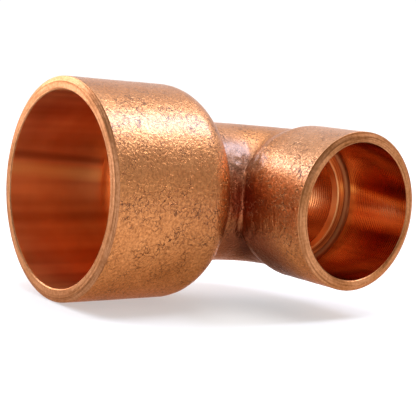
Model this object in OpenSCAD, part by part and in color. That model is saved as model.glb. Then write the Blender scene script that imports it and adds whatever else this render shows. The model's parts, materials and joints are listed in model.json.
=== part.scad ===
// Copper solder-joint reducing elbow, 90 degrees, for 22.2 mm and 15.9 mm tubes.
// The real elbow is one seamless piece of copper. It is modelled here as five sections of that piece,
// which meet face to face: a large socket, the shoulder that reduces it, the bend, the step that stops
// the small tube, and the small socket.
//
// Frame: Z is up and both sockets lie in the XY plane. The large socket opens towards -Y and the small
// socket towards +X. The origin is on the large socket's axis, where the large tube comes to a stop.

/* [Large socket] */
// Bore diameter of the large socket, which takes a 22.2 mm tube
large_bore_d = 22.36; // [22.30:0.01:22.50]
// Depth of the large socket, from its mouth to the tube stop
large_depth = 12.9; // [12:0.1:14]
// Wall thickness of the large socket
large_wall = 1.54; // [1.4:0.01:1.7]

/* [Small socket] */
// Bore diameter of the small socket, which takes a 15.9 mm tube
small_bore_d = 16.10; // [16.00:0.01:16.20]
// Depth of the small socket, from its mouth to the tube stop
small_depth = 10.1; // [9.5:0.1:10.4]
// Wall thickness of the small socket
small_wall = 1.25; // [1.15:0.01:1.35]
// Bore diameter through the ring that stops the small tube
stop_bore_d = 12.9; // [12.4:0.1:13.4]

/* [Bend] */
// Distance from the crossing of the two axes to the large mouth
large_end_to_centre = 29.4; // [29:0.1:31]
// Distance from the crossing of the two axes to the small mouth
small_end_to_centre = 18.6; // [18.3:0.1:19.4]
// Radius of the bend, measured to the middle of the tube
bend_r = 7.4; // [7.2:0.1:7.6]
// Outer diameter of the bent tube
bend_outer_d = 17.2; // [16.8:0.1:17.4]
// Bore diameter of the bent tube
bend_bore_d = 13.7; // [13.4:0.1:13.9]

/* [Rims] */
// Width of the chamfer around the outside of each rim, measured across the rim's face
rim_chamfer = 0.55; // [0.3:0.05:0.7]
// Depth of the same chamfer, measured along the socket
rim_chamfer_depth = 0.3; // [0.2:0.05:0.6]
// Width of the small break around the inside of each rim
bore_break = 0.12; // [0.05:0.01:0.2]

/* [Hidden] */
$fn = 128;

copper = [0.80, 0.47, 0.33];
dark_copper = [0.66, 0.36, 0.25];

large_r = large_bore_d / 2;
large_outer_r = large_r + large_wall;
small_r = small_bore_d / 2;
small_outer_r = small_r + small_wall;
stop_r = stop_bore_d / 2;
neck_outer_r = bend_outer_d / 2;
neck_bore_r = bend_bore_d / 2;

// The shoulder is a quarter round outside and inside, with one centre, so its wall stays even.
shoulder_r = large_outer_r - neck_outer_r;
shoulder_inner_r = shoulder_r - large_wall;

// Places along Y: the small socket's axis, and where the straight neck gives way to the bend
axis_y = large_end_to_centre - large_depth;
bend_start_y = axis_y - bend_r;

// Places along X: the small tube's stop, and where the swell outside it ends
stop_x = small_end_to_centre - small_depth;
swell_end_x = stop_x + 0.9;
// Share of the swell that is done where the small tube stops
swell_at_stop = 0.65;
stop_outer_r = neck_outer_r + swell_at_stop * (small_outer_r - neck_outer_r);

// How far a cutter runs past the solid that it cuts
past = 1;

// Turns a profile, drawn as [radius, distance along the axis], round the large socket's axis (+Y).
module about_large_axis() {
    rotate([-90, 0, 0]) rotate_extrude() children();
}

// The same about the small socket's axis (+X), with distances counted from the crossing.
module about_small_axis() {
    translate([0, axis_y, 0]) rotate([0, 90, 0]) rotate_extrude() children();
}

// The neck's outer cylinder. The small socket is trimmed by it where the two meet in the crotch.
module neck_envelope() {
    rotate([-90, 0, 0]) cylinder(r = neck_outer_r, h = bend_start_y);
}

// The small socket's bore, which the neck keeps clear of
module small_bore_cutter() {
    translate([stop_x, axis_y, 0]) rotate([0, 90, 0]) cylinder(r = small_r, h = small_depth + past);
}

module large_socket() {
    color(copper) about_large_axis() polygon([
        [large_r, 0],
        [large_outer_r, 0],
        [large_outer_r, rim_chamfer_depth - large_depth],
        [large_outer_r - rim_chamfer, -large_depth],
        [large_r + bore_break, -large_depth],
        [large_r, bore_break - large_depth],
    ]);
}

module reducing_shoulder() {
    color(copper) difference() {
        about_large_axis() difference() {
            union() {
                square([neck_outer_r, bend_start_y]);
                intersection() {
                    translate([neck_outer_r, 0]) circle(r = shoulder_r);
                    square([large_outer_r, shoulder_r]);
                }
            }
            square([neck_bore_r, bend_start_y]);
            intersection() {
                translate([neck_outer_r, 0]) circle(r = shoulder_inner_r);
                square([large_r, shoulder_inner_r]);
            }
            square([neck_outer_r, shoulder_inner_r]);
        }
        small_bore_cutter();
    }
}

// The bend is tighter than the tube is wide, so its outside is cut off at the bend's own centre line.
module elbow_bend() {
    color(copper) translate([bend_r, bend_start_y, 0]) rotate([0, 0, 90])
        rotate_extrude(angle = 90) difference() {
            intersection() {
                translate([bend_r, 0]) circle(r = neck_outer_r);
                translate([0, -neck_outer_r]) square([bend_r + neck_outer_r, bend_outer_d]);
            }
            translate([bend_r, 0]) circle(r = neck_bore_r);
        }
}

module small_socket_stop() {
    color(dark_copper) difference() {
        about_small_axis() polygon([
            [stop_r, bend_r],
            [neck_outer_r, bend_r],
            [stop_outer_r, stop_x],
            [stop_r, stop_x],
        ]);
        neck_envelope();
    }
}

module small_socket() {
    color(copper) difference() {
        about_small_axis() polygon([
            [small_r, stop_x],
            [stop_outer_r, stop_x],
            [small_outer_r, swell_end_x],
            [small_outer_r, small_end_to_centre - rim_chamfer_depth],
            [small_outer_r - rim_chamfer, small_end_to_centre],
            [small_r + bore_break, small_end_to_centre],
            [small_r, small_end_to_centre - bore_break],
        ]);
        neck_envelope();
    }
}

large_socket();
reducing_shoulder();
elbow_bend();
small_socket_stop();
small_socket();
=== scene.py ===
"""Copper reducing elbow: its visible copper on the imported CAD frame, with the stage, lights and camera."""
import json
import math

import bpy
import numpy as np
from mathutils import Matrix, Vector


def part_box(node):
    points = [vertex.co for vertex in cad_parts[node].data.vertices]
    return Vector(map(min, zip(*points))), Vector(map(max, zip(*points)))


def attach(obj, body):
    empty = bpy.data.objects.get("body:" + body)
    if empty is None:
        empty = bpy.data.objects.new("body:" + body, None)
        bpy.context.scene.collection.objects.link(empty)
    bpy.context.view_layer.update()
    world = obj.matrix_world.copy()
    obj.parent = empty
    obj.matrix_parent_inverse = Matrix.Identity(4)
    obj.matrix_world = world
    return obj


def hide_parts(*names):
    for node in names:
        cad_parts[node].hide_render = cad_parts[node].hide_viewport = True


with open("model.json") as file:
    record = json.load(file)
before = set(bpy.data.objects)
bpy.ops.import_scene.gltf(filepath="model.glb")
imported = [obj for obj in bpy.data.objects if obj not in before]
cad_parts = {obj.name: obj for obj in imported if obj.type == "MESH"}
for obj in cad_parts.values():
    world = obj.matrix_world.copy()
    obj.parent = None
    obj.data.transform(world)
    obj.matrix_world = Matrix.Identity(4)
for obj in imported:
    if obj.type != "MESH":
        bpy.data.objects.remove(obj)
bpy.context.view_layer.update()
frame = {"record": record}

# ---------------------------------------------------------------- sizes, in millimetres, from the frame
MM = 0.001


def box_mm(node):
    """A CAD node's lowest and highest corners, in millimetres."""
    low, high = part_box(node)
    return low / MM, high / MM


mounts = {m["name"]: m for m in frame["record"]["mounts"]}
large_low, large_high = box_mm("large_socket")
bend_low, bend_high = box_mm("elbow_bend")
_, small_high = box_mm("small_socket")

LARGE_MOUTH_Y = large_low.y
LARGE_OUTER_R = large_high.z
LARGE_BORE_R = mounts["large_socket"]["dims"]["r_mm"]
SMALL_MOUTH_X = small_high.x
SMALL_OUTER_R = small_high.z
SMALL_BORE_R = mounts["small_socket"]["dims"]["r_mm"]
SMALL_SEAT_X = mounts["small_socket"]["pos_m"][0] / MM
AXIS_Y = mounts["small_socket"]["pos_m"][1] / MM
NECK_OUTER_R = bend_high.z
BEND_R = bend_high.x
BEND_Y = bend_low.y
SHOULDER_R = LARGE_OUTER_R - NECK_OUTER_R
SHOULDER_INNER_R = SHOULDER_R - (LARGE_OUTER_R - LARGE_BORE_R)
# The side of the small socket that faces the large one, and meets the neck in the crotch
CROTCH_Y = AXIS_Y - SMALL_OUTER_R

# Sizes that the frame's boxes don't give
NECK_BORE_R = 6.85
STOP_BORE_R = 6.45
RIM_CHAMFER = 0.55
RIM_CHAMFER_DEPTH = 0.3
BORE_BREAK = 0.12
SEAT_FILLET = 0.6
NECK_FILLET = 0.45
CROTCH_FILLET = 0.7
SWELL_END_X = SMALL_SEAT_X + 0.9
# How far the smooth swell runs past the two ends of the CAD's cone
SWELL_LEAD, SWELL_TAIL = 0.6, 0.5
# How much earlier the swell comes on the side that faces the large socket
CROTCH_SWELL_SHIFT = 1.7
# Where the small socket's outside has become a plain cylinder
PLAIN_SMALL_X = SWELL_END_X + 1.2

# The grain begins this far before the end of each chamfer, and takes the second distance to grow
GRAIN_START, GRAIN_FADE = 0.05, 0.7
# The line where the die's halves met: its height and half width, and those of the burr just above it
PARTING_HEIGHT, PARTING_WIDTH = 0.022, 0.07
BURR_HEIGHT, BURR_WIDTH, BURR_Z = 0.22, 0.16, 0.2
BURR_START_X, BURR_END_X = 15.2, 17.6

# The upright line, just outside the crease in the crotch, that the sections of the bend turn about
PIVOT = (NECK_OUTER_R + 0.35, CROTCH_Y - 0.2)

# Points in a row, and the spacing of the rows on each kind of surface
AROUND = 512
TURN = np.arange(AROUND) * 2 * math.pi / AROUND
GRAIN_STEP = 0.14
BORE_STEP = 0.5
RIM_STEP = 0.12
BREAK_STEP = 0.05
FILLET_STEP = 0.07
OUTER_BEND_ROWS = 132
INNER_BEND_ROWS = 40

# Rays that look for the outer surface: the longest, the first tries along it, and the halvings after those
RAY_LENGTH = 25.0
RAY_TRIES = 80
RAY_HALVINGS = 24


# ---------------------------------------------------------------- random but repeatable bumps
def lattice_noise(points, cell, seed):
    """Smooth values from -1 to 1 at each point, with about one bump to a cell of that size."""
    scaled = points / cell + 211.7
    corner = np.floor(scaled).astype(np.int64)
    part = scaled - corner
    part = part * part * (3 - 2 * part)
    total = np.zeros(points.shape[:-1])
    for bits in range(8):
        step = np.array([bits & 1, bits >> 1 & 1, bits >> 2 & 1])
        near = corner + step
        mixed = near[..., 0] * 73856093 ^ near[..., 1] * 19349663 ^ near[..., 2] * 83492791
        mixed = mixed ^ seed * 50331653
        mixed = (mixed ^ mixed >> 13) * 1274126177 & 0xFFFFFFFF
        value = (mixed ^ mixed >> 16) / 2147483648.0 % 2.0 - 1.0
        weight = np.prod(np.where(step == 1, part, 1 - part), axis=-1)
        total += weight * value
    return total


# ---------------------------------------------------------------- the plain outer surface round the bend
def smooth_step(low, high, value):
    """0 below low, 1 above high, and a smooth rise between."""
    t = np.clip((value - low) / (high - low), 0, 1)
    return t * t * (3 - 2 * t)


def swell_radius(x):
    """Outer radius round the small socket's axis, which grows from the bend's tube to the socket."""
    share = smooth_step(BEND_R - SWELL_LEAD, SWELL_END_X + SWELL_TAIL, x)
    return NECK_OUTER_R + (SMALL_OUTER_R - NECK_OUTER_R) * share


def outside(p):
    """How far points lie outside the plain surface past the shoulder. Inside the copper it is negative."""
    x, y, z = p[..., 0], p[..., 1], p[..., 2]
    neck = np.hypot(x, z) - NECK_OUTER_R
    away = np.hypot(y - AXIS_Y, z)
    crotch_side = np.clip((AXIS_Y - y) / np.maximum(away, 1e-9), 0, 1)
    small = away - swell_radius(x + CROTCH_SWELL_SHIFT * crotch_side ** 2)
    ring = np.hypot(x - BEND_R, y - BEND_Y) - BEND_R
    bend = np.hypot(ring, z) - NECK_OUTER_R
    fillet = 0.01 + CROTCH_FILLET * smooth_step(BEND_R, BEND_R + 0.8, x)
    share = np.clip(0.5 + 0.5 * (small - neck) / fillet, 0, 1)
    joined = small + (neck - small) * share - fillet * share * (1 - share)
    past_bend = np.where(y > BEND_Y, small, joined)
    before = np.where(y > BEND_Y, bend, neck)
    return np.where(x > BEND_R, past_bend, before)


def cast_row(centre, inward, reach):
    """A closed row of points where rays from centre, in the plane of inward and Z, leave the outer surface.

    No ray goes further than reach in the direction of inward.
    """
    across = np.cos(TURN)
    rays = across[:, None] * inward + np.sin(TURN)[:, None] * np.array([0, 0, 1.0])
    longest = np.where(across > 1e-6, reach / np.maximum(across, 1e-6), RAY_LENGTH)
    longest = np.minimum(longest, RAY_LENGTH)
    shares = np.linspace(0.02, 1, RAY_TRIES)
    tried = centre + rays[:, None, :] * (longest[:, None] * shares)[..., None]
    out = outside(tried) > 0
    out[:, -1] = True
    first = np.argmax(out, axis=1)
    high = longest * shares[first]
    low = longest * shares[np.maximum(first - 1, 0)]
    for _ in range(RAY_HALVINGS):
        middle = (low + high) / 2
        is_out = outside(centre + rays * middle[:, None]) > 0
        high = np.where(is_out, middle, high)
        low = np.where(is_out, low, middle)
    return centre + rays * ((low + high) / 2)[:, None]


# ---------------------------------------------------------------- rows of points, from bore to outside
def line(start, end, step):
    """Points from start up to end, end left out, with close neighbours that keep both ends' edges sharp."""
    start, end = np.array(start, float), np.array(end, float)
    length = np.linalg.norm(end - start)
    close = min(0.03, length / 4)
    places = [*np.linspace(0, length, max(2, round(length / step) + 1))[:-1], close, length - close]
    return [tuple(start + (end - start) * s / length) for s in sorted(set(places))]


def arc(centre, radius, start, end, step):
    """Points along an arc, angles in degrees, the end left out."""
    count = max(3, round(abs(math.radians(end - start)) * radius / step))
    angles = np.radians(np.linspace(start, end, count + 1)[:-1])
    return [(centre[0] + radius * math.cos(a), centre[1] + radius * math.sin(a)) for a in angles]


def about_large_axis(radius, y):
    """A row of points round the large socket's axis."""
    return np.stack([radius * np.cos(TURN), np.full(AROUND, y), radius * np.sin(TURN)], 1)


def about_small_axis(radius, x):
    """A row of points round the small socket's axis, turned to follow on from the bend's rows."""
    return np.stack([np.full(AROUND, x), AXIS_Y - radius * np.cos(TURN), radius * np.sin(TURN)], 1)


def about_bend(angle):
    """A row of points round the bend's bore, at an angle from the large socket's side."""
    out = BEND_R - NECK_BORE_R * np.cos(TURN)
    x = BEND_R - out * math.cos(angle)
    y = BEND_Y + out * math.sin(angle)
    return np.stack([x, y, NECK_BORE_R * np.sin(TURN)], 1)


rows, zones, marks = [], [], {}


def add_row(zone, row):
    """Appends a row to the chain that goes once round the copper's section, and names its surface."""
    rows.append(row)
    zones.append(zone)


def add_round(zone, about_axis, places):
    """Appends a row round an axis for each place, which is a radius and a distance along the axis."""
    for radius, along in places:
        add_row(zone, about_axis(radius, along))


def large_profile():
    """From the neck's bore out through the large socket's mouth and back along its outside to the neck."""
    inner_edge, inner_face_end = (NECK_BORE_R, SHOULDER_INNER_R), (NECK_OUTER_R, SHOULDER_INNER_R)
    add_round("shoulder_inside", about_large_axis, line((NECK_BORE_R, BEND_Y), inner_edge, step=0.6))
    add_round("shoulder_inside", about_large_axis, line(inner_edge, inner_face_end, step=0.3))
    add_round("shoulder_inside", about_large_axis, arc((NECK_OUTER_R, 0), SHOULDER_INNER_R, 90, 0, step=0.25))
    marks["large_seat"] = len(rows)
    bore_end = (LARGE_BORE_R, LARGE_MOUTH_Y + BORE_BREAK)
    face_start = (LARGE_BORE_R + BORE_BREAK, LARGE_MOUTH_Y)
    face_end = (LARGE_OUTER_R - RIM_CHAMFER, LARGE_MOUTH_Y)
    outside_start = (LARGE_OUTER_R, LARGE_MOUTH_Y + RIM_CHAMFER_DEPTH)
    add_round("large_bore", about_large_axis, line((LARGE_BORE_R, 0), bore_end, BORE_STEP))
    add_round("large_rim", about_large_axis, line(bore_end, face_start, BREAK_STEP))
    add_round("large_rim", about_large_axis, line(face_start, face_end, RIM_STEP))
    add_round("large_rim", about_large_axis, line(face_end, outside_start, RIM_STEP))
    add_round("outer", about_large_axis, line(outside_start, (LARGE_OUTER_R, 0), GRAIN_STEP))
    marks["large_end"] = len(rows)
    lean = math.degrees(math.asin(NECK_FILLET / (SHOULDER_R + NECK_FILLET)))
    add_round("outer", about_large_axis, arc((NECK_OUTER_R, 0), SHOULDER_R, 0, 90 - lean, GRAIN_STEP))
    fillet_y = (SHOULDER_R + NECK_FILLET) * math.cos(math.radians(lean))
    fillet_at = (NECK_OUTER_R + NECK_FILLET, fillet_y)
    add_round("outer", about_large_axis, arc(fillet_at, NECK_FILLET, 270 - lean, 180, FILLET_STEP))
    return fillet_y


def outer_bend(neck_start_y):
    """The outside from the neck, round the bend, to where the small socket is a plain cylinder."""
    inward = np.array([1.0, 0, 0])
    for y in np.arange(neck_start_y, PIVOT[1] - GRAIN_STEP / 2, GRAIN_STEP):
        add_row("outer", cast_row(np.array([0, y, 0]), inward, RAY_LENGTH))
    marks["bend_start"] = len(rows)
    for i in range(OUTER_BEND_ROWS):
        angle = i / OUTER_BEND_ROWS * math.pi / 2
        inward = np.array([math.cos(angle), -math.sin(angle), 0])
        reach = PIVOT[0] + (AXIS_Y - PIVOT[1] - PIVOT[0]) * i / OUTER_BEND_ROWS
        centre = np.array([*PIVOT, 0]) - inward * reach
        add_row("outer", cast_row(centre, inward, reach))
    marks["bend_end"] = len(rows)
    down = np.array([0, -1.0, 0])
    for x in np.arange(PIVOT[0], SWELL_END_X, GRAIN_STEP):
        add_row("outer", cast_row(np.array([x, AXIS_Y, 0]), down, RAY_LENGTH))
    marks["small_start"] = len(rows)
    for x in np.arange(SWELL_END_X, PLAIN_SMALL_X, GRAIN_STEP):
        add_row("outer", cast_row(np.array([x, AXIS_Y, 0]), down, RAY_LENGTH))


def small_profile():
    """From the small socket's outside over its rim and down its bore to the stop ring and the bend's bore."""
    outside_end = (SMALL_OUTER_R, SMALL_MOUTH_X - RIM_CHAMFER_DEPTH)
    face_start = (SMALL_OUTER_R - RIM_CHAMFER, SMALL_MOUTH_X)
    face_end = (SMALL_BORE_R + BORE_BREAK, SMALL_MOUTH_X)
    bore_start = (SMALL_BORE_R, SMALL_MOUTH_X - BORE_BREAK)
    add_round("outer", about_small_axis, line((SMALL_OUTER_R, PLAIN_SMALL_X), outside_end, GRAIN_STEP))
    add_round("small_rim", about_small_axis, line(outside_end, face_start, RIM_STEP))
    add_round("small_rim", about_small_axis, line(face_start, face_end, RIM_STEP))
    add_round("small_rim", about_small_axis, line(face_end, bore_start, BREAK_STEP))
    fillet_at = (SMALL_BORE_R - SEAT_FILLET, SMALL_SEAT_X + SEAT_FILLET)
    add_round("small_bore", about_small_axis, line(bore_start, (SMALL_BORE_R, fillet_at[1]), BORE_STEP))
    marks["small_seat"] = len(rows)
    add_round("seat_fillet", about_small_axis, arc(fillet_at, SEAT_FILLET, 0, -90, FILLET_STEP))
    step_start = (SMALL_BORE_R - SEAT_FILLET, SMALL_SEAT_X)
    step_end = (STOP_BORE_R + BORE_BREAK, SMALL_SEAT_X)
    ring_start = (STOP_BORE_R, SMALL_SEAT_X - BORE_BREAK)
    add_round("stop", about_small_axis, line(step_start, step_end, step=0.2))
    add_round("stop", about_small_axis, line(step_end, ring_start, step=0.06))
    add_round("stop", about_small_axis, line(ring_start, (STOP_BORE_R, BEND_R), step=0.25))
    add_round("stop", about_small_axis, line((STOP_BORE_R, BEND_R), (NECK_BORE_R, BEND_R), step=0.2))
    marks["stop_end"] = len(rows)


def bend_bore():
    """The bend's bore, back to where the chain of rows began."""
    for i in range(INNER_BEND_ROWS):
        add_row("passage", about_bend(math.pi / 2 * (1 - i / INNER_BEND_ROWS)))


neck_start = large_profile()
outer_bend(neck_start)
small_profile()
bend_bore()
ROWS = len(rows)
surface = np.array(rows)
zone_of = np.array(zones)


def outward(points):
    """Unit normals of the closed chain of rows, from each point's neighbours along and around."""
    along = np.roll(points, -1, 0) - np.roll(points, 1, 0)
    around = np.roll(points, -1, 1) - np.roll(points, 1, 1)
    normal = np.cross(around, along)
    return normal / np.maximum(np.linalg.norm(normal, axis=-1, keepdims=True), 1e-12)


# ---------------------------------------------------------------- grain, dents and press marks, as real shape
def near_crotch(p):
    """1 in the crease of the crotch, falling to 0 about 3 mm away from it."""
    gap = np.hypot(p[..., 0] - NECK_OUTER_R, p[..., 1] - CROTCH_Y)
    return (1 - smooth_step(0.6, 3.2, gap)) * (1 - smooth_step(4.0, 6.5, np.abs(p[..., 2])))


def parting_line(p):
    """The broken line that the two halves of the die left, and a burr just above it near the small rim."""
    x, y, z = p[..., 0], p[..., 1], p[..., 2]
    on_line = np.exp(-(z / PARTING_WIDTH) ** 2)
    broken = smooth_step(-0.1, 0.4, lattice_noise(p, 2.2, 10)) * (0.6 + 0.4 * lattice_noise(p, 0.4, 11))
    on_burr = np.exp(-((z - BURR_Z) / BURR_WIDTH) ** 2)
    begun = smooth_step(BURR_START_X, BURR_START_X + 0.5, x)
    ended = smooth_step(BURR_END_X - 0.6, BURR_END_X, x)
    in_burr = begun * (1 - ended) * (y < AXIS_Y)
    ragged = 0.7 + 0.6 * lattice_noise(p, 0.5, 12)
    return PARTING_HEIGHT * on_line * broken + BURR_HEIGHT * on_burr * in_burr * ragged


def relief(p):
    """How far the outer surface stands proud of the plain shape, in millimetres."""
    grain = 0.010 * lattice_noise(p, 0.55, 3) + 0.006 * lattice_noise(p, 0.31, 4)
    peel = 0.012 * lattice_noise(p, 1.3, 5) + 0.020 * lattice_noise(p, 4.5, 6)
    upright = p * np.array([1, 1, 0.22])
    creases = 0.10 * lattice_noise(upright, 0.62, 7) + 0.05 * lattice_noise(upright, 0.33, 8)
    lumps = 0.10 * lattice_noise(p, 1.15, 9)
    return grain + peel + near_crotch(p) * (creases + lumps) + parting_line(p)


def away_from_rims(p):
    """Nearly 0 where the chamfers of the two rims end, rising to 1 a short way along the outside."""
    from_large = p[..., 1] - LARGE_MOUTH_Y - RIM_CHAMFER_DEPTH + GRAIN_START
    from_small = SMALL_MOUTH_X - RIM_CHAMFER_DEPTH + GRAIN_START - p[..., 0]
    return np.minimum(smooth_step(0, GRAIN_FADE, from_large), smooth_step(0, GRAIN_FADE, from_small))


normals = outward(surface)
is_outer = (zone_of == "outer")[:, None]
height = np.where(is_outer, relief(surface) * away_from_rims(surface), 0)
surface = surface + normals * height[..., None]
normals = outward(surface)


# ---------------------------------------------------------------- node helpers
def new_material(name):
    """An empty node material with its Principled shader."""
    material = bpy.data.materials.new(name)
    material.use_nodes = True
    tree = material.node_tree
    return material, tree, tree.nodes["Principled BSDF"]


def make(tree, kind, inputs=None, **settings):
    """A node with its settings, and with values or links for its inputs."""
    node = tree.nodes.new(kind)
    for key, value in settings.items():
        setattr(node, key, value)
    for key, value in (inputs or {}).items():
        socket = node.inputs[key]
        if isinstance(value, bpy.types.NodeSocket):
            tree.links.new(value, socket)
        else:
            socket.default_value = value
    return node


def calc(tree, operation, *values):
    """The result of a Math node."""
    return make(tree, "ShaderNodeMath", dict(enumerate(values)), operation=operation).outputs[0]


def vector_calc(tree, operation, *values):
    """The result of a Vector Math node, which is a number for a length, a distance or a dot product."""
    node = make(tree, "ShaderNodeVectorMath", dict(enumerate(values)), operation=operation)
    gives_number = operation in ("LENGTH", "DISTANCE", "DOT_PRODUCT")
    return node.outputs["Value" if gives_number else "Vector"]


def position(tree):
    """Position on the object, in metres."""
    return make(tree, "ShaderNodeTexCoord").outputs["Object"]


def axis_parts(tree, where):
    """The X, Y and Z of a position."""
    return make(tree, "ShaderNodeSeparateXYZ", {"Vector": where}).outputs


def noise(tree, where, scale, detail=2.0, rough=0.5, stretch=None):
    """Noise from 0 to 1, with scale in bumps per metre, stretched along the axes if asked."""
    if stretch:
        where = make(tree, "ShaderNodeMapping", {"Vector": where, "Scale": stretch}).outputs["Vector"]
    inputs = {"Vector": where, "Scale": scale, "Detail": detail, "Roughness": rough}
    return make(tree, "ShaderNodeTexNoise", inputs).outputs["Fac"]


def ramp(tree, value, stops):
    """A colour ramp between two (place, colour) stops."""
    node = make(tree, "ShaderNodeValToRGB", {"Fac": value})
    for element, (place, colour) in zip(node.color_ramp.elements, stops):
        element.position = place
        element.color = (*colour, 1)
    return node.outputs["Color"]


def remap(tree, value, low, high, to_low, to_high):
    """A value moved from one range to another, and held inside it."""
    names = {"Value": value, "From Min": low, "From Max": high, "To Min": to_low, "To Max": to_high}
    return make(tree, "ShaderNodeMapRange", names).outputs["Result"]


def mix(tree, share, first, second, blend="MIX"):
    """A mix of two colours."""
    node = make(tree, "ShaderNodeMix", data_type="RGBA", blend_type=blend)
    for socket, value in ((node.inputs[0], share), (node.inputs[6], first), (node.inputs[7], second)):
        if isinstance(value, bpy.types.NodeSocket):
            tree.links.new(value, socket)
        else:
            socket.default_value = (*value, 1) if isinstance(value, tuple) else value
    return node.outputs[2]


def bump(tree, height, depth, strength=1.0, normal=None):
    """A bump from a height of 0 to 1 that stands for a depth in millimetres."""
    values = {"Height": height, "Distance": depth * MM, "Strength": strength}
    if normal:
        values["Normal"] = normal
    return make(tree, "ShaderNodeBump", values).outputs["Normal"]


def near_point(tree, where, place, low, high):
    """1 within low millimetres of a place on the object, falling to 0 at high millimetres from it."""
    away = vector_calc(tree, "DISTANCE", where, tuple(v * MM for v in place))
    return remap(tree, away, low * MM, high * MM, 1, 0)


# ---------------------------------------------------------------- materials
WHITE = (1.0, 1.0, 1.0)
EDGE_ON_TINT = (0.92, 0.62, 0.50, 1)


def bare_copper(name):
    """A copper material, which keeps its warm colour where it is seen edge on."""
    material, tree, shader = new_material(name)
    shader.inputs["Metallic"].default_value = 1.0
    shader.inputs["Specular Tint"].default_value = EDGE_ON_TINT
    return material, tree, shader


def worm_pits(tree, where):
    """1 in worm-shaped pits, which lie thick in some patches and are missing from others."""
    worms = noise(tree, where, 1500, detail=1.5)
    patches = noise(tree, where, 420)
    off_line = calc(tree, "ABSOLUTE", calc(tree, "SUBTRACT", worms, 0.5))
    on_line = remap(tree, off_line, 0.004, 0.028, 1, 0)
    return calc(tree, "MULTIPLY", on_line, remap(tree, patches, 0.44, 0.60, 0, 1))


def painted_light_on_small_socket(tree, parts):
    """Painted light: 0.45 on the upper part of the small socket, falling to 0 off it and on its underside."""
    on_socket = remap(tree, parts["X"], (SMALL_SEAT_X + 1) * MM, (SMALL_SEAT_X + 4) * MM, 0, 0.45)
    past_shoulder = remap(tree, parts["Y"], 5.0 * MM, 7.0 * MM, 0, 1)
    above = remap(tree, parts["Z"], -5.0 * MM, 0.5 * MM, 0, 1)
    return calc(tree, "MULTIPLY", calc(tree, "MULTIPLY", on_socket, past_shoulder), above)


def outside_colour(tree, where, grain, pits, pressed_and_shaded, crease_shade):
    """Copper in soft blotches, with specks and pits, and with painted light and shade by its place on the
    fitting.
    """
    parts = axis_parts(tree, where)
    blotch = noise(tree, where, 170, detail=3, rough=0.55)
    colour = ramp(tree, blotch, [(0.3, (0.64, 0.235, 0.070)), (0.7, (0.75, 0.30, 0.100))])
    # Painted highlight: the upper part of the small socket is mixed towards a pale copper
    colour = mix(tree, painted_light_on_small_socket(tree, parts), colour, (0.90, 0.45, 0.22))
    speck = ramp(tree, grain, [(0.34, (0.60, 0.54, 0.48)), (0.62, WHITE)])
    colour = mix(tree, 1.0, colour, speck, "MULTIPLY")
    colour = mix(tree, pits, colour, (0.17, 0.055, 0.016))
    # Painted reflection of the pale surroundings: the top is tinted cooler and less orange
    painted_reflection_top = remap(tree, parts["Z"], 3 * MM, 9 * MM, 0, 1)
    colour = mix(tree, painted_reflection_top, colour, (0.84, 0.97, 1.20), "MULTIPLY")
    # Painted shade: a patch low on the large socket's +X side is darkened
    painted_shade_low_side = near_point(tree, where, (0.8 * LARGE_OUTER_R, 1.5, -4.5), 2.0, 10.0)
    colour = mix(tree, painted_shade_low_side, colour, (0.80, 0.78, 0.76), "MULTIPLY")
    # Painted shade on the rougher patch by the crotch
    colour = mix(tree, pressed_and_shaded, colour, (0.27, 0.125, 0.068))
    # Painted shade in and below the crease of the crotch
    colour = mix(tree, crease_shade, colour, (0.34, 0.09, 0.04))
    # Painted shade under the bend, nearly black
    under = near_point(tree, where, (NECK_OUTER_R, AXIS_Y - 4.5, -NECK_OUTER_R), 3.6, 8.6)
    return mix(tree, under, colour, (0.07, 0.018, 0.012))


def tumbled_copper():
    """The outside: tumbled copper with a dense grain and worm-shaped pits, with painted shade round the
    crotch and under the bend.
    """
    material, tree, shader = bare_copper("tumbled_copper")
    where = position(tree)
    grain = noise(tree, where, 3300, detail=3, rough=0.6)
    pits = worm_pits(tree, where)
    # A rougher patch on the neck by the crotch; its darker colour is painted shade that dims the highlight
    # there
    pressed_and_shaded_at = (0.8 * NECK_OUTER_R, CROTCH_Y - 0.5, 0.6 * NECK_OUTER_R)
    pressed_and_shaded = near_point(tree, where, pressed_and_shaded_at, 2.0, 4.6)
    # Painted shade in the crease of the crotch and below it
    crease = near_point(tree, where, (NECK_OUTER_R + 0.3, CROTCH_Y, 0), 1.2, 4.4)
    below_crease = near_point(tree, where, (NECK_OUTER_R + 0.5, CROTCH_Y + 1.5, -7.0), 2.5, 6.8)
    crease_shade = calc(tree, "MAXIMUM", crease, below_crease)
    colour = outside_colour(tree, where, grain, pits, pressed_and_shaded, crease_shade)
    tree.links.new(colour, shader.inputs["Base Color"])

    # The coat gives the upper side its sheen, and is nearly missing where the crease's painted shade lies
    height = axis_parts(tree, where)["Z"]
    coat = remap(tree, height, -8 * MM, 8 * MM, 0.02, 0.6)
    coat = calc(tree, "MULTIPLY", coat, remap(tree, crease_shade, 0, 1, 1, 0.1))
    tree.links.new(coat, shader.inputs["Coat Weight"])
    shader.inputs["Coat Roughness"].default_value = 0.3

    polished = remap(tree, grain, 0.3, 0.7, 0.40, 0.25)
    matt = calc(tree, "MULTIPLY", pressed_and_shaded, 0.18)
    tree.links.new(calc(tree, "ADD", polished, matt), shader.inputs["Roughness"])

    scratched = near_point(tree, where, (12.8, CROTCH_Y + 0.5, -2.2), 1.2, 4.2)
    scratches = noise(tree, where, 2400, rough=0.6, stretch=(1, 1, 0.07))
    grained = bump(tree, grain, depth=0.09)
    pitted = bump(tree, pits, depth=-0.08, normal=grained)
    scored = bump(tree, calc(tree, "MULTIPLY", scratches, scratched), depth=0.15, normal=pitted)
    tree.links.new(scored, shader.inputs["Normal"])
    return material


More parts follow.
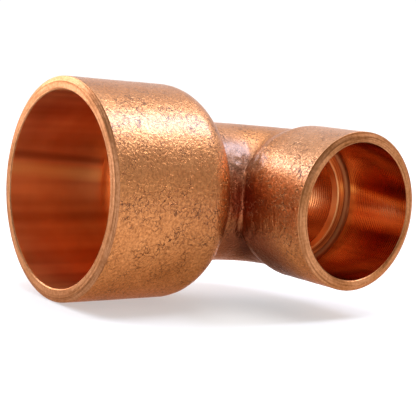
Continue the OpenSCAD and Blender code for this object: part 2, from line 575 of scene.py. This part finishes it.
def turned_lines(tree, where, axis, scale):
    """Fine lines, from 0 to 1, that run round a socket's axis on its rim or on the face of its stop."""
    centre = (0, AXIS_Y * MM, 0) if axis == "X" else (0, 0, 0)
    flat = (0, 1, 1) if axis == "X" else (1, 0, 1)
    away = vector_calc(tree, "MULTIPLY", vector_calc(tree, "SUBTRACT", where, centre), flat)
    radius = vector_calc(tree, "LENGTH", away)
    outwards = make(tree, "ShaderNodeCombineXYZ", {"X": radius}).outputs["Vector"]
    slow = vector_calc(tree, "MULTIPLY", where, (0.03, 0.03, 0.03))
    return noise(tree, vector_calc(tree, "ADD", slow, outwards), scale, rough=0.6)


def machined_rim(name, axis, dark, light):
    """The faced and chamfered rims: tan copper with fine circular lines left by the tool."""
    material, tree, shader = bare_copper(name)
    where = position(tree)
    grain = noise(tree, where, 3000, detail=3, rough=0.6)
    blotch = noise(tree, where, 260)
    lines = turned_lines(tree, where, axis, 5200)
    colour = ramp(tree, blotch, [(0.32, dark), (0.68, light)])
    speck = ramp(tree, grain, [(0.32, (0.70, 0.63, 0.54)), (0.62, WHITE)])
    colour = mix(tree, 1.0, colour, speck, "MULTIPLY")
    grooves = ramp(tree, lines, [(0.36, (0.55, 0.48, 0.40)), (0.54, WHITE)])
    colour = mix(tree, 1.0, colour, grooves, "MULTIPLY")
    tree.links.new(colour, shader.inputs["Base Color"])
    shader.inputs["Roughness"].default_value = 0.40
    turned = bump(tree, lines, depth=0.05, strength=0.8)
    rough_turned = bump(tree, grain, depth=0.05, strength=0.8, normal=turned)
    tree.links.new(rough_turned, shader.inputs["Normal"])
    return material


def lengthwise_band(tree, height, along, slope, start, width):
    """0.9 on a band along a bore's wall, at a height of start less slope times the distance along."""
    off_line = calc(tree, "SUBTRACT", calc(tree, "MULTIPLY_ADD", along, slope, height), start * MM)
    return remap(tree, calc(tree, "ABSOLUTE", off_line), 0.2 * width * MM, width * MM, 0.9, 0)


def painted_reflection_bands(tree, where, axis, colour):
    """The colour, with painted reflections on a socket's far wall: bright bands, and on the large bore also a
    dark one.
    """
    parts = axis_parts(tree, where)
    if axis == "X":
        far_wall = remap(tree, parts["Y"], AXIS_Y * MM, (AXIS_Y + 3) * MM, 0, 1)
        bands = [(0.11, 2.7, 0.7, (1.0, 0.66, 0.32))]
    else:
        far_wall = remap(tree, parts["X"], 0, -3 * MM, 0, 1)
        bands = [(0.06, 0.5, 1.1, (1.0, 0.60, 0.22)), (0.06, 2.3, 0.7, (0.45, 0.14, 0.045))]
    for slope, start, width, tint in bands:
        band = lengthwise_band(tree, parts["Z"], parts[axis], slope, start, width)
        colour = mix(tree, calc(tree, "MULTIPLY", band, far_wall), colour, tint)
    return colour


def turned_rings(tree, where, axis, width):
    """Rings, from 0 to 1, that run round a bore at a regular spacing in millimetres, slightly unsteady."""
    turns = calc(tree, "MULTIPLY", axis_parts(tree, where)[axis], 2 * math.pi / (width * MM))
    unsteady = calc(tree, "MULTIPLY", noise(tree, where, 300), 9)
    return remap(tree, calc(tree, "SINE", calc(tree, "ADD", turns, unsteady)), -1, 1, 0, 1)


def smooth_bore(name, axis, dark, light, rough, rings, streaks, with_reflection_bands=False):
    """A bore: smooth deep copper, with turned rings round the axis and drawn streaks along it.

    Rings are a spacing and a depth in millimetres. Streaks are bumps per metre and a depth in millimetres.
    """
    material, tree, shader = bare_copper(name)
    where = position(tree)
    ring_width, ring_depth = rings
    streak_scale, streak_depth = streaks
    streak_stretch = (0.03, 1, 1) if axis == "X" else (1, 0.03, 1)
    drawn = noise(tree, where, streak_scale, rough=0.55, stretch=streak_stretch)
    cloud = noise(tree, where, 240)
    colour = ramp(tree, cloud, [(0.3, dark), (0.7, light)])
    banding = ramp(tree, drawn, [(0.36, (0.70, 0.55, 0.44)), (0.60, WHITE)])
    colour = mix(tree, 1.0, colour, banding, "MULTIPLY")
    # Painted reflections on the far wall
    if with_reflection_bands:
        colour = painted_reflection_bands(tree, where, axis, colour)
    tree.links.new(colour, shader.inputs["Base Color"])
    shader.inputs["Roughness"].default_value = rough
    wavy = bump(tree, drawn, streak_depth)
    turned = turned_rings(tree, where, axis, ring_width)
    tree.links.new(bump(tree, turned, ring_depth, normal=wavy), shader.inputs["Normal"])
    return material


def seat_corner():
    """The rounded corner of the small seat, which the tool has not reached: plain dark copper."""
    material, tree, shader = bare_copper("seat_fillet_copper")
    cloud = noise(tree, position(tree), 240)
    colour = ramp(tree, cloud, [(0.3, (0.368, 0.122, 0.042)), (0.7, (0.438, 0.154, 0.058))])
    tree.links.new(colour, shader.inputs["Base Color"])
    shader.inputs["Roughness"].default_value = 0.50
    return material


def stop_step():
    """The step that stops the small tube: lighter copper with turned lines."""
    material, tree, shader = bare_copper("stop_copper")
    lines = turned_lines(tree, position(tree), "X", 4200)
    colour = ramp(tree, lines, [(0.40, (0.52, 0.19, 0.065)), (0.52, (0.90, 0.45, 0.18))])
    tree.links.new(colour, shader.inputs["Base Color"])
    shader.inputs["Roughness"].default_value = 0.42
    tree.links.new(bump(tree, lines, depth=0.06, strength=0.8), shader.inputs["Normal"])
    return material


MATERIALS = {
    "outer": tumbled_copper(),
    "large_rim": machined_rim("large_rim_copper", "Y", (0.40, 0.170, 0.075), (0.52, 0.245, 0.120)),
    "small_rim": machined_rim("small_rim_copper", "X", (0.50, 0.200, 0.075), (0.64, 0.285, 0.130)),
    "large_bore": smooth_bore(
        "large_bore_copper", "Y", (0.80, 0.32, 0.115), (0.92, 0.42, 0.165), rough=0.42,
        rings=(0.45, 0.001), streaks=(330, 0.12), with_reflection_bands=True),
    # Painted light: the inside of the shoulder is a lighter copper than the large bore, for light that comes
    # in through the small socket
    "shoulder_inside": smooth_bore(
        "shoulder_inside_copper", "Y", (0.86, 0.36, 0.13), (0.96, 0.46, 0.18), rough=0.42,
        rings=(0.45, 0.001), streaks=(330, 0.10)),
    "small_bore": smooth_bore(
        "small_bore_copper", "X", (0.66, 0.24, 0.09), (0.76, 0.31, 0.125), rough=0.16,
        rings=(0.30, 0.008), streaks=(420, 0.03), with_reflection_bands=True),
    "seat_fillet": seat_corner(),
    "stop": stop_step(),
    "passage": smooth_bore(
        "passage_copper", "X", (0.46, 0.16, 0.055), (0.56, 0.21, 0.08), rough=0.24,
        rings=(0.32, 0.008), streaks=(420, 0.03)),
}


# ---------------------------------------------------------------- pieces
def section(name, node, chains):
    """One closed piece from one or two stretches of the chain of rows, joined up across the copper."""
    picked = [row for start, stop in chains for row in range(start, stop)]
    joins = np.cumsum([stop - start for start, stop in chains]) - 1
    index = np.array(picked) % ROWS
    count = len(index)
    points = surface[index].reshape(-1, 3) * MM
    i = np.repeat(np.arange(count), AROUND)
    j = np.tile(np.arange(AROUND), count)
    next_i, next_j = (i + 1) % count, (j + 1) % AROUND
    corners = [i * AROUND + j, i * AROUND + next_j, next_i * AROUND + next_j, next_i * AROUND + j]
    quads = np.stack(corners, 1)
    mesh = bpy.data.meshes.new(name)
    mesh.vertices.add(len(points))
    mesh.vertices.foreach_set("co", points.ravel())
    mesh.loops.add(quads.size)
    mesh.loops.foreach_set("vertex_index", quads.ravel())
    mesh.polygons.add(len(quads))
    mesh.polygons.foreach_set("loop_start", np.arange(len(quads)) * 4)
    used = sorted(set(zone_of[index]))
    for zone in used:
        mesh.materials.append(MATERIALS[zone])
    slots = np.array([used.index(z) for z in zone_of[index]])
    mesh.polygons.foreach_set("material_index", np.repeat(slots, AROUND))
    mesh.polygons.foreach_set("use_smooth", np.ones(len(quads), bool))
    mesh.update(calc_edges=True)
    # Faces across the copper keep their own flat normals; the others share the whole surface's.
    own = normals[index].reshape(-1, 3)[quads]
    own[np.isin(i, joins)] = 0
    mesh.normals_split_custom_set(own.reshape(-1, 3))
    piece = bpy.data.objects.new(name, mesh)
    bpy.context.scene.collection.objects.link(piece)
    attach(piece, "root")
    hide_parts(node)


section("large_socket_metal", "large_socket",
        [(marks["large_seat"], marks["large_end"] + 1)])
section("reducing_shoulder_metal", "reducing_shoulder",
        [(marks["large_end"], marks["bend_start"] + 1), (ROWS, ROWS + marks["large_seat"] + 1)])
section("elbow_bend_metal", "elbow_bend",
        [(marks["bend_start"], marks["bend_end"] + 1), (marks["stop_end"], ROWS + 1)])
section("small_stop_metal", "small_socket_stop",
        [(marks["bend_end"], marks["small_start"] + 1), (marks["small_seat"], marks["stop_end"] + 1)])
section("small_socket_metal", "small_socket",
        [(marks["small_start"], marks["small_seat"] + 1)])


# ---------------------------------------------------------------- camera
CAMERA_AZIMUTH = 51.97
CAMERA_ELEVATION = 6.39
CAMERA_ROLL = 4.93
CAMERA_DISTANCE = 135.83 * MM
CAMERA_LENS = 90.9
# How far the middle of the view lies right of and below the crossing of the two axes
CAMERA_RIGHT = -6.20 * MM
CAMERA_BELOW = 2.12 * MM
CROSSING = Vector((0, AXIS_Y * MM, 0))


def towards(azimuth, elevation):
    """The direction at an azimuth, from -Y towards +X, and an elevation, both in degrees."""
    a, e = math.radians(azimuth), math.radians(elevation)
    return Vector((math.sin(a) * math.cos(e), -math.cos(a) * math.cos(e), math.sin(e)))


def make_camera():
    """A camera that looks at the crossing of the axes, moved over by the offsets above."""
    back = towards(CAMERA_AZIMUTH, CAMERA_ELEVATION)
    turn = (-back).to_track_quat("-Z", "Y").to_matrix() @ Matrix.Rotation(math.radians(CAMERA_ROLL), 3, "Z")
    right, up = turn.col[0], turn.col[1]
    data = bpy.data.cameras.new("camera")
    data.lens = CAMERA_LENS
    data.clip_start, data.clip_end = 0.01, 10
    camera = bpy.data.objects.new("camera", data)
    spot = CROSSING + right * CAMERA_RIGHT - up * CAMERA_BELOW + back * CAMERA_DISTANCE
    camera.matrix_world = Matrix.Translation(spot) @ turn.to_4x4()
    bpy.context.scene.collection.objects.link(camera)
    bpy.context.scene.camera = camera


# ---------------------------------------------------------------- stage and lights
# Half the floor's width and the lights' distance, in metres, and the gap under the part, in millimetres
FLOOR_HALF = 3.0
LIGHT_DISTANCE = 0.6
FLOOR_GAP = 0.05
# Strength of the surroundings on the camera's side, behind the part, and straight overhead
DIM_SIDE, BRIGHT_SIDE, OVERHEAD = 0.46, 1.05, 4.4


def make_floor():
    """A pale floor just under the large socket, which is the part's lowest point."""
    mesh = bpy.data.meshes.new("floor")
    z = -(LARGE_OUTER_R + FLOOR_GAP) * MM
    corners = [(x * FLOOR_HALF, y * FLOOR_HALF, z) for x, y in ((-1, -1), (1, -1), (1, 1), (-1, 1))]
    mesh.from_pydata(corners, [], [(0, 1, 2, 3)])
    material, _, shader = new_material("floor_paper")
    shader.inputs["Base Color"].default_value = (0.52, 0.52, 0.52, 1)
    shader.inputs["Emission Color"].default_value = (*WHITE, 1)
    shader.inputs["Emission Strength"].default_value = 0.43
    shader.inputs["Roughness"].default_value = 0.8
    mesh.materials.append(material)
    floor = bpy.data.objects.new("floor", mesh)
    bpy.context.scene.collection.objects.link(floor)


def area_light(name, azimuth, elevation, size, power, colour=WHITE):
    """A square soft light that faces the crossing of the axes."""
    back = towards(azimuth, elevation)
    data = bpy.data.lights.new(name, "AREA")
    data.shape = "SQUARE"
    data.size = size
    data.energy = power
    data.color = colour
    light = bpy.data.objects.new(name, data)
    turn = back.to_track_quat("Z", "Y").to_matrix().to_4x4()
    light.matrix_world = Matrix.Translation(CROSSING + back * LIGHT_DISTANCE) @ turn
    bpy.context.scene.collection.objects.link(light)


def studio_world():
    """Soft surroundings: white behind the part, dim on the camera's side, and a softbox straight overhead."""
    world = bpy.data.worlds.new("studio")
    bpy.context.scene.world = world
    world.use_nodes = True
    tree = world.node_tree
    direction = make(tree, "ShaderNodeTexCoord").outputs["Generated"]
    behind = towards(CAMERA_AZIMUTH + 180, 0)
    share = vector_calc(tree, "DOT_PRODUCT", direction, behind)
    side = remap(tree, share, -0.3, 0.75, DIM_SIDE, BRIGHT_SIDE)
    upward = remap(tree, axis_parts(tree, direction)["Z"], 0.90, 0.95, 0, 1)
    strength = make(tree, "ShaderNodeMix", {0: upward, 2: side, 3: OVERHEAD}, data_type="FLOAT")
    background = tree.nodes["Background"]
    tree.links.new(strength.outputs[0], background.inputs["Strength"])
    background.inputs["Color"].default_value = (*WHITE, 1)


make_camera()
make_floor()
area_light("back_right", 167, 54, size=0.18, power=1.6, colour=(0.88, 0.98, 1.25))
area_light("left", -65, 19, size=0.34, power=3.4, colour=(0.90, 0.98, 1.18))
area_light("front_fill", -8, 6, size=0.16, power=0.30)
studio_world()
bpy.context.scene.view_settings.view_transform = "Standard"
